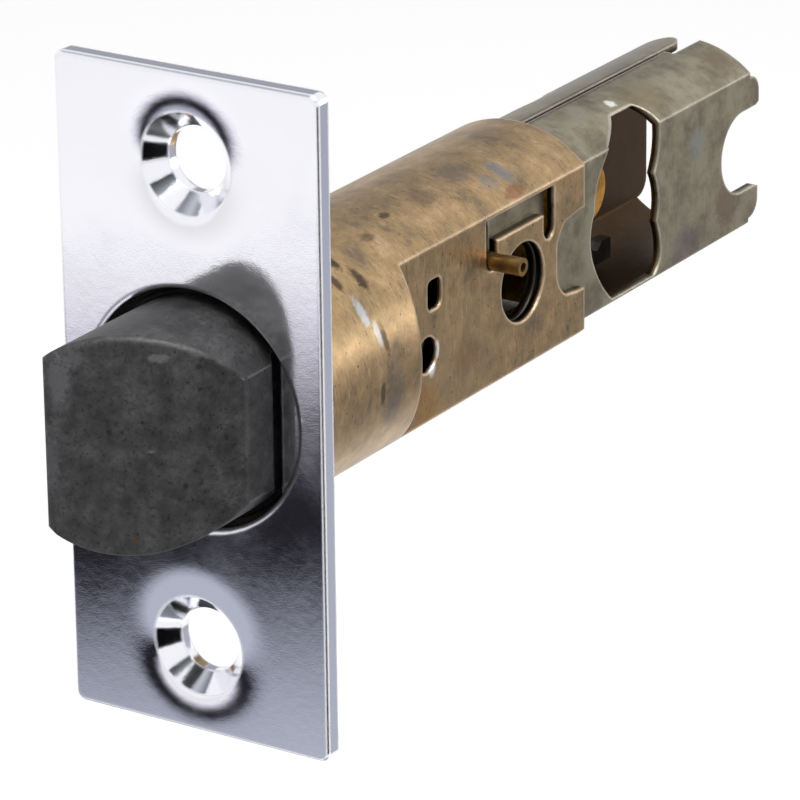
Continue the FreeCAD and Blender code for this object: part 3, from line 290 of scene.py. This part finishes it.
    # The inside and the mouth round the bolt get a painted shade, nearly black. In front of the
    # step the tube is round, so there only its bore is inside.
    axes, in_bore, in_flats = inner_faces(tree, place, tube=10.2, flats=6.95)
    ahead = add_node(tree, "ShaderNodeMapRange", {
        "Value": axes.outputs["X"], "From Min": -19.5, "From Max": -17.0})
    across = add_node(tree, "ShaderNodeMath", {A: in_flats, B: ahead}, {"operation": "MAXIMUM"})
    inside = add_node(tree, "ShaderNodeMath", {A: in_bore, B: across}, {"operation": "MULTIPLY"})
    mouth = add_node(tree, "ShaderNodeMapRange", {
        "Value": axes.outputs["X"], "From Min": -1.7, "From Max": -1.6})
    painted_shade = add_node(tree, "ShaderNodeMath", {A: inside, B: mouth}, {"operation": "MAXIMUM"})
    colour = add_node(tree, "ShaderNodeMix", {SHARE: painted_shade, UNDER: worn_and_highlit, OVER: "#1d1916"},
                      {"data_type": "RGBA"})
    rough = add_node(tree, "ShaderNodeMapRange", {
        "Value": scratch, "From Min": NOISE_LOW, "From Max": NOISE_HIGH, "To Min": 0.3, "To Max": 0.48})
    relief = add_node(tree, "ShaderNodeBump", {
        "Height": scratch, "Strength": 0.6, "Distance": 0.02 * MM, "Normal": rounded})
    feed(tree, shader, {"Base Color": colour, "Roughness": rough, "Normal": relief})
    return material


def case_zinc():
    """Dull zinc plate gone grey-olive: cloudy, tinted brown and purple, with a painted highlight on its
    edges and a painted shade round the post hole; inside, brown from dirt and painted shade.
    """
    material, tree, shader, place = new_material("dull_zinc_plate", metallic=1.0)
    # The tarnish lies in clouds about 3.5 mm wide
    cloud = add_node(tree, "ShaderNodeTexNoise", {
        "Vector": place, "Scale": 0.28, "Detail": 8.0, "Roughness": 0.72})
    tint = add_node(tree, "ShaderNodeValToRGB", {"Fac": cloud}, stops=[
        (0.32, "#6f6658"), (0.45, "#857d6b"), (0.58, "#97907c"), (0.7, "#918986")])
    # Pale streaks of the rolling, 0.17 mm wide and 2 mm long
    turn = add_node(tree, "ShaderNodeMapping", {"Vector": place, "Scale": (6.0, 0.5, 0.5)})
    grain = add_node(tree, "ShaderNodeTexNoise", {
        "Vector": turn, "Scale": 1.0, "Detail": 3.0, "Roughness": 0.6})
    pale = add_node(tree, "ShaderNodeValToRGB", {"Fac": grain}, stops=[(0.6, 0.0), (0.75, 0.22)])
    streaked = add_node(tree, "ShaderNodeMix", {SHARE: pale, UNDER: tint, OVER: "#c9c4b4"},
                        {"data_type": "RGBA"})
    marked = add_marks(tree, place, streaked, [
        # Rust along the seam and a chip beside it
        Mark((-61.0, -0.2, 9.6), 0.9, (0.03, 1, 0.5), "#4a2f26", 0.85, 0.5),
        Mark((-62.3, 2.9, 9.2), 0.7, (0.9, 1, 1), "#f6f5f0", 0.9, 0.9),
        # The far strip of the sheet is bluer
        Mark((-70.0, -5.0, 8.2), 5.0, (0.25, 1, 1), "#75757c", 0.4, 0.6),
        # Brown, purple and blue tarnish on the flat and the round strips
        Mark((-77.8, 6.4, -3.9), 3.2, ROUND, "#6b5544", 0.6, 0.8),
        Mark((-70.0, 6.4, -6.0), 3.0, (0.8, 1, 1), "#6f6068", 0.55, 0.8),
        Mark((-66.5, 3.6, 9.0), 3.0, ALONG, "#7d6f4e", 0.5, 0.8),
        Mark((-80.0, 4.0, 8.5), 2.6, ROUND, "#6a5a44", 0.5, 0.8),
        Mark((-72.0, 6.4, 3.2), 2.0, ROUND, "#7f8790", 0.4, 0.8),
    ])
    # The pale edges are a painted highlight along the creases
    rounded, worn_and_highlit = pale_edges_wear_and_highlight(tree, 0.4, marked, "#d8d2c4", cloud)
    # Inside, the sheet is dark brown: partly dirt, partly a painted shade
    in_bore, in_flats = inner_faces(tree, place, tube=9.3, flats=6.05)[1:]
    inside = add_node(tree, "ShaderNodeMath", {A: in_bore, B: in_flats}, {"operation": "MULTIPLY"})
    browned_and_shaded = add_node(tree, "ShaderNodeMix", {SHARE: inside, UNDER: worn_and_highlit, OVER: "#402c14"},
                       {"data_type": "RGBA"})
    # Round the post hole the case lies in the dark, under the barrel
    hole_x = mounts["post_hole"]["pos_m"][0] / MM
    off = add_node(tree, "ShaderNodeVectorMath", {A: place, B: (hole_x, 0, 0)},
                   {"operation": "SUBTRACT"})
    across = add_node(tree, "ShaderNodeVectorMath", {A: off, B: (1, 0, 1)}, {"operation": "MULTIPLY"})
    away = add_node(tree, "ShaderNodeVectorMath", {A: across}, {"operation": "LENGTH"})
    shaded = add_node(tree, "ShaderNodeMapRange", {
        "Value": away.outputs["Value"], "From Min": 4.8, "From Max": 4.5, "To Max": 0.85})
    colour = add_node(tree, "ShaderNodeMix", {SHARE: shaded, UNDER: browned_and_shaded, OVER: "#1a1612"},
                      {"data_type": "RGBA"})
    rough = add_node(tree, "ShaderNodeMapRange", {
        "Value": cloud, "From Min": NOISE_LOW, "From Max": NOISE_HIGH, "To Min": 0.36, "To Max": 0.52})
    relief = add_node(tree, "ShaderNodeBump", {
        "Height": grain, "Strength": 0.5, "Distance": 0.02 * MM, "Normal": rounded})
    feed(tree, shader, {"Base Color": colour, "Roughness": rough, "Normal": relief})
    return material


def bolt_sintered():
    """Sintered iron, steam-darkened: matt, mottled and pitted, with scuffs and rust, edges partly worn
    and partly painted pale as a highlight, and a painted highlight on top.
    """
    material, tree, shader, place = new_material("steam_treated_sintered_iron", metallic=0.85)
    # The oxide is mottled in patches about 2 mm wide
    cloud = add_node(tree, "ShaderNodeTexNoise", {
        "Vector": place, "Scale": 0.5, "Detail": 8.0, "Roughness": 0.75})
    tint = add_node(tree, "ShaderNodeValToRGB", {"Fac": cloud}, stops=[
        (0.3, "#353536"), (0.5, "#494949"), (0.7, "#626262")])
    # Pores and pits of up to 0.4 mm between the pressed grains
    pore = add_node(tree, "ShaderNodeTexNoise", {
        "Vector": place, "Scale": 2.6, "Detail": 6.0, "Roughness": 0.7})
    pit = add_node(tree, "ShaderNodeValToRGB", {"Fac": pore}, stops=[(0.3, 0.8), (0.46, 0.0)])
    pitted = add_node(tree, "ShaderNodeMix", {SHARE: pit, UNDER: tint, OVER: "#1c1b1c"},
                      {"data_type": "RGBA"})
    # Scuffs 0.2 mm wide and 3 mm long run down the bevel, where the strike plate rubs it
    bevel_turn = 0.98
    down = add_node(tree, "ShaderNodeMapping", {
        "Vector": place, "Rotation": (0.0, 0.0, bevel_turn), "Scale": (0.35, 5.0, 5.0)})
    rub = add_node(tree, "ShaderNodeTexNoise", {
        "Vector": down, "Scale": 1.0, "Detail": 4.0, "Roughness": 0.6})
    scuff = add_node(tree, "ShaderNodeValToRGB", {"Fac": rub}, stops=[(0.66, 0.0), (0.78, 0.4)])
    scuffed = add_node(tree, "ShaderNodeMix", {SHARE: scuff, UNDER: pitted, OVER: "#7c7c7e"},
                       {"data_type": "RGBA"})
    marked = add_marks(tree, place, scuffed, [
        # A spot of rust low on the bevel
        Mark((9.3, 0.7, -7.9), 0.6, (1, 1, 1.4), "#5f4a30", 0.7, 0.9),
        # Deeper pits
        Mark((11.2, -3.2, 6.4), 0.5, ROUND, "#161616", 0.8, 1.0),
        Mark((10.4, -0.8, 1.4), 0.35, ROUND, "#1c1c1c", 0.6, 1.0),
        Mark((7.1, 4.2, -3.4), 0.4, ROUND, "#191919", 0.7, 1.0),
        # Knocks and rubs, most of them at the tip
        Mark((8.6, 2.0, -0.3), 0.3, (0.6, 0.6, 1.6), "#77777b", 0.6, 1.0),
        Mark((12.4, -4.4, 5.6), 1.5, (1, 1, 0.5), "#858588", 0.4, 1.0),
        Mark((12.0, -2.9, 7.4), 1.2, (1, 0.6, 1), "#858588", 0.25, 1.0),
        Mark((12.6, -5.2, -1.0), 1.0, (1, 1, 0.25), "#858588", 0.35, 1.0),
        # A painted highlight high on the bolt's side
        Mark((8.2, 2.6, 7.6), 0.7, (1, 0.4, 1.4), "#a9a9ad", 0.3, 1.0),
    ])
    # The pale edges are partly worn metal and partly a painted highlight
    rounded, worn_and_highlit = pale_edges_wear_and_highlight(tree, 0.5, marked, "#c8c8cc", cloud)
    rough = add_node(tree, "ShaderNodeMapRange", {
        "Value": cloud, "From Min": NOISE_LOW, "From Max": NOISE_HIGH, "To Min": 0.42, "To Max": 0.58})
    depth = add_node(tree, "ShaderNodeMath", {A: pore, B: cloud}, {"operation": "ADD"})
    relief = add_node(tree, "ShaderNodeBump", {
        "Height": depth, "Strength": 0.8, "Distance": 0.06 * MM, "Normal": rounded})
    feed(tree, shader, {"Base Color": worn_and_highlit, "Roughness": rough, "Normal": relief})
    return material


def worked_metal(name, dark, light, roughness, grain):
    """Plain metal between a dark and a light tone, with tool marks along X, grain millimetres wide.

    The real marks are finer. These are as fine as the picture can show.
    """
    material, tree, shader, place = new_material(name, metallic=1.0)
    cloud = add_node(tree, "ShaderNodeTexNoise", {
        "Vector": place, "Scale": 0.5, "Detail": 4.0, "Roughness": 0.6})
    tint = add_node(tree, "ShaderNodeValToRGB", {"Fac": cloud}, stops=[(0.35, dark), (0.65, light)])
    along = add_node(tree, "ShaderNodeMapping", {
        "Vector": place, "Scale": (0.3, 1 / grain, 1 / grain)})
    marks = add_node(tree, "ShaderNodeTexNoise", {
        "Vector": along, "Scale": 1.0, "Detail": 3.0, "Roughness": 0.6})
    rough = add_node(tree, "ShaderNodeMapRange", {
        "Value": marks, "From Min": NOISE_LOW, "From Max": NOISE_HIGH,
        "To Min": roughness - 0.07, "To Max": roughness + 0.1})
    relief = add_node(tree, "ShaderNodeBump", {
        "Height": marks, "Strength": 0.5, "Distance": 0.02 * MM})
    feed(tree, shader, {"Base Color": tint, "Roughness": rough, "Normal": relief})
    return material


def dress_nodes():
    """Gives every CAD node its material."""
    # Satin grey, darkened by the oil left from the press
    oiled = worked_metal("oiled_cold_rolled_steel", "#4b4844", "#6e6a63", 0.4, 0.3)
    # A little bluer and shinier than the sheet
    spring = worked_metal("oiled_spring_steel", "#48484b", "#6b6b70", 0.35, 0.2)
    # Pale and bright from the die
    drawn = worked_metal("drawn_bright_steel", "#86868a", "#a9a9ae", 0.3, 0.2)
    finishes = {
        "faceplate": plate_chrome(),
        "barrel": barrel_dichromate(),
        "rear_case": case_zinc(),
        "bolt": bolt_sintered(),
        # Gold film, bright where it catches the light in the opening
        "case_spacer": worked_metal("gold_dichromate_on_zinc", "#a8762f", "#d9a24c", 0.32, 0.3),
        # Nearly black, a painted shade, so the gap round the bolt reads as a shadow
        "bolt_collar": worked_metal("near_black_steel_painted_shade", "#161517", "#242224", 0.5, 0.3),
        # Dull gold with fine turning marks
        "adjuster_stud": worked_metal("turned_brass", "#66502f", "#947548", 0.36, 0.15),
    }
    for material, names in (
            (oiled, ("drawbar", "upper_pull_arm", "lower_pull_arm", "spring_seat", "adjuster_slide")),
            (spring, ("bolt_spring", "upper_link_clip", "lower_link_clip", "adjuster_spring")),
            (drawn, ("bolt_cross_pin", "clip_rivets"))):
        for name in names:
            finishes[name] = material
    for name, material in finishes.items():
        for slot in frame["nodes"][name].material_slots:
            slot.material = material


def add_coil(node):
    """A spring's coil as its own piece, attached to the case in place of the CAD node."""
    mesh = frame["nodes"][node].data.copy()
    coil = bpy.data.objects.new(node + "_coil", mesh)
    scene.collection.objects.link(coil)
    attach(coil, "case")
    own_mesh(coil)
    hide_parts(node)


def add_springs():
    """Both springs are held at one end by the case and at the other by the piece that moves; here each
    coil is attached to the case alone.
    """
    add_coil("bolt_spring")
    add_coil("adjuster_spring")


def add_camera():
    """The photograph's camera: a long lens, looking at the faceplate's front and the bevel's side.

    Its place and its directions were found by laying the latch's corners over the photograph's.
    """
    place = Vector((319.937, 224.170, 150.874)) * MM
    right = Vector((-0.53452302, 0.84508795, -0.01055958))
    down = Vector((0.30889141, 0.18371523, -0.93318530))
    ahead = Vector((-0.78668368, -0.50207079, -0.35924043))
    focal_pixels = 5168.145
    picture_pixels = 800
    data = bpy.data.cameras.new("photo_camera")
    data.sensor_width = 36
    data.lens = focal_pixels * data.sensor_width / picture_pixels
    data.clip_start = 0.01
    data.clip_end = 20
    camera = bpy.data.objects.new("photo_camera", data)
    scene.collection.objects.link(camera)
    turn = Matrix((right, -down, -ahead)).transposed()
    camera.matrix_world = Matrix.Translation(place) @ turn.to_4x4()
    scene.camera = camera


def aim(obj, place, target, front):
    """Puts an object at a place with the axis that is its front towards a target."""
    obj.location = place
    obj.rotation_mode = "QUATERNION"
    obj.rotation_quaternion = (Vector(target) - Vector(place)).to_track_quat(front, "Y")


def add_area(name, place, target, size, power):
    """A square soft box that looks at the target, in metres and watts."""
    data = bpy.data.lights.new(name, "AREA")
    data.shape = "SQUARE"
    data.size = size
    data.energy = power
    lamp = bpy.data.objects.new(name, data)
    scene.collection.objects.link(lamp)
    aim(lamp, place, target, "-Z")


def add_panel(name, width, height, material):
    """A flat rectangle across its origin."""
    across, up = width / 2, height / 2
    mesh = bpy.data.meshes.new(name)
    mesh.from_pydata([(-across, -up, 0), (across, -up, 0), (across, up, 0), (-across, up, 0)],
                     [], [(0, 1, 2, 3)])
    mesh.materials.append(material)
    panel = bpy.data.objects.new(name, mesh)
    scene.collection.objects.link(panel)
    return panel


def looked_at(tree):
    """1 for the camera's rays and those that leave a mirror or glass, and 0 for light on its way."""
    rays = add_node(tree, "ShaderNodeLightPath")
    bounced = add_node(tree, "ShaderNodeMath", {
        A: rays.outputs["Is Glossy Ray"], B: rays.outputs["Is Transmission Ray"]},
        {"operation": "MAXIMUM"})
    return add_node(tree, "ShaderNodeMath", {A: rays.outputs["Is Camera Ray"], B: bounced},
                    {"operation": "MAXIMUM"})


def add_floor():
    """White paper below the latch, which is held in the air, so far down that no card cuts it."""
    drop = 0.22
    material = bpy.data.materials.new("white_paper_sweep")
    material.use_nodes = True
    tree = material.node_tree
    # The camera and the metal's reflections see the paper burnt out to white
    glow = add_node(tree, "ShaderNodeMath", {A: looked_at(tree), B: 0.4}, {"operation": "MULTIPLY"})
    feed(tree, tree.nodes["Principled BSDF"], {
        "Base Color": "#f4f4f4", "Roughness": 0.9, "Emission Color": "#ffffff",
        "Emission Strength": glow})
    floor = add_panel("floor", 6.0, 6.0, material)
    floor.location.z = cad_low.z - drop


def add_world():
    """A pale surround, white where the camera or a mirror looks straight at it."""
    lighting, white = 0.45, 1.0
    world = bpy.data.worlds.new("studio")
    world.use_nodes = True
    scene.world = world
    tree = world.node_tree
    strength = add_node(tree, "ShaderNodeMath", {A: looked_at(tree), B: white - lighting, C: lighting},
                        {"operation": "MULTIPLY_ADD"})
    feed(tree, tree.nodes["Background"], {"Color": "#ffffff", "Strength": strength})


def add_card(name, place, target, width, height, tones):
    """A card hidden from the camera; its tones are stops from its foot at 0 to its top at 1."""
    material = bpy.data.materials.new(name + "_paper")
    material.use_nodes = True
    tree = material.node_tree
    tree.nodes.remove(tree.nodes["Principled BSDF"])
    spot = add_node(tree, "ShaderNodeTexCoord")
    axes = add_node(tree, "ShaderNodeSeparateXYZ", {"Vector": spot.outputs["Object"]})
    share = add_node(tree, "ShaderNodeMapRange", {
        "Value": axes.outputs["Y"], "From Min": -height / 2, "From Max": height / 2})
    tone = add_node(tree, "ShaderNodeValToRGB", {"Fac": share}, stops=tones)
    glow = add_node(tree, "ShaderNodeEmission", {"Color": tone})
    feed(tree, tree.nodes["Material Output"], {"Surface": glow})
    card = add_panel(name, width, height, material)
    aim(card, place, target, "Z")
    card.visible_camera = False


dress_nodes()
add_springs()
add_camera()
add_floor()
add_world()

barrel_front = (-0.02, 0, 0)
add_area("key", (0.1, 0.3, 0.8), barrel_front, size=0.6, power=7.5)
# A small, low soft box behind lights the near side of the barrel
add_area("low_side", (-0.41, 0.33, 0.07), barrel_front, size=0.15, power=0.3)

# The plate's lower half mirrors this card: a dark band that fades to grey below and to white above
add_card("graded_card", (0.1395, -0.0977, -0.1232), (-0.0117, 0.0083, -0.0462), 0.3, 0.145, [
    (0.0, "#b8bcc8"), (0.579, "#b8bcc8"), (0.662, "#989ca8"), (0.679, "#8a8c98"), (0.71, "#484850"),
    (0.727, "#323238"), (0.738, "#1c1b20"), (0.821, "#1c1b20"), (0.838, "#3c3a42"), (0.876, "#8f8c94"),
    (0.917, "#c8c5d0"), (0.952, "#eceaf2"), (1.0, "#ffffff")])
# These give the cones of the screw dimples their dark and grey facets
plate_centre = (0, 0, 0)
add_card("black_card", (0.128, 0.192, -0.098), plate_centre, 0.24, 0.16, [
    (0.0, "#0b0b0c"), (1.0, "#0b0b0c")])
add_card("foot_card", (-0.1, -0.125, -0.19), plate_centre, 0.16, 0.13, [
    (0.0, "#2c2e33"), (1.0, "#4a4d54")])
add_card("ground_card", (0.01, 0.035, -0.2), plate_centre, 0.13, 0.13, [
    (0.0, "#5c6168"), (1.0, "#8a8f96")])
add_card("head_card", (0.075, -0.12, 0.2), plate_centre, 0.15, 0.12, [
    (0.0, "#5d6268"), (0.5, "#c8ccd2"), (1.0, "#6f747a")])
add_card("brow_card", (0.134, 0.131, 0.167), plate_centre, 0.1, 0.09, [
    (0.0, "#2c2f33"), (0.6, "#787d83"), (1.0, "#a9adb2")])
# The plate's near edge, the barrel's flat and the plate's top edge mirror these, in that order
add_card("edge_card", (-0.0558, 0.0478, -0.0251), (-0.00075, 0.0127, 0), 0.018, 0.07, [
    (0.0, "#b4b8c4"), (1.0, "#a9adb9")])
add_card("side_card", (-0.197, 0.150, -0.090), (0, 0.012, 0), 0.24, 0.16, [
    (0.0, "#b0b0b0"), (1.0, "#b4b4b4")])
add_card("upper_card", (-0.236, -0.150, 0.125), (0, 0, 0.028), 0.24, 0.12, [
    (0.0, "#a2a5ad"), (1.0, "#a2a5ad")])
scene.view_settings.view_transform = "Standard"
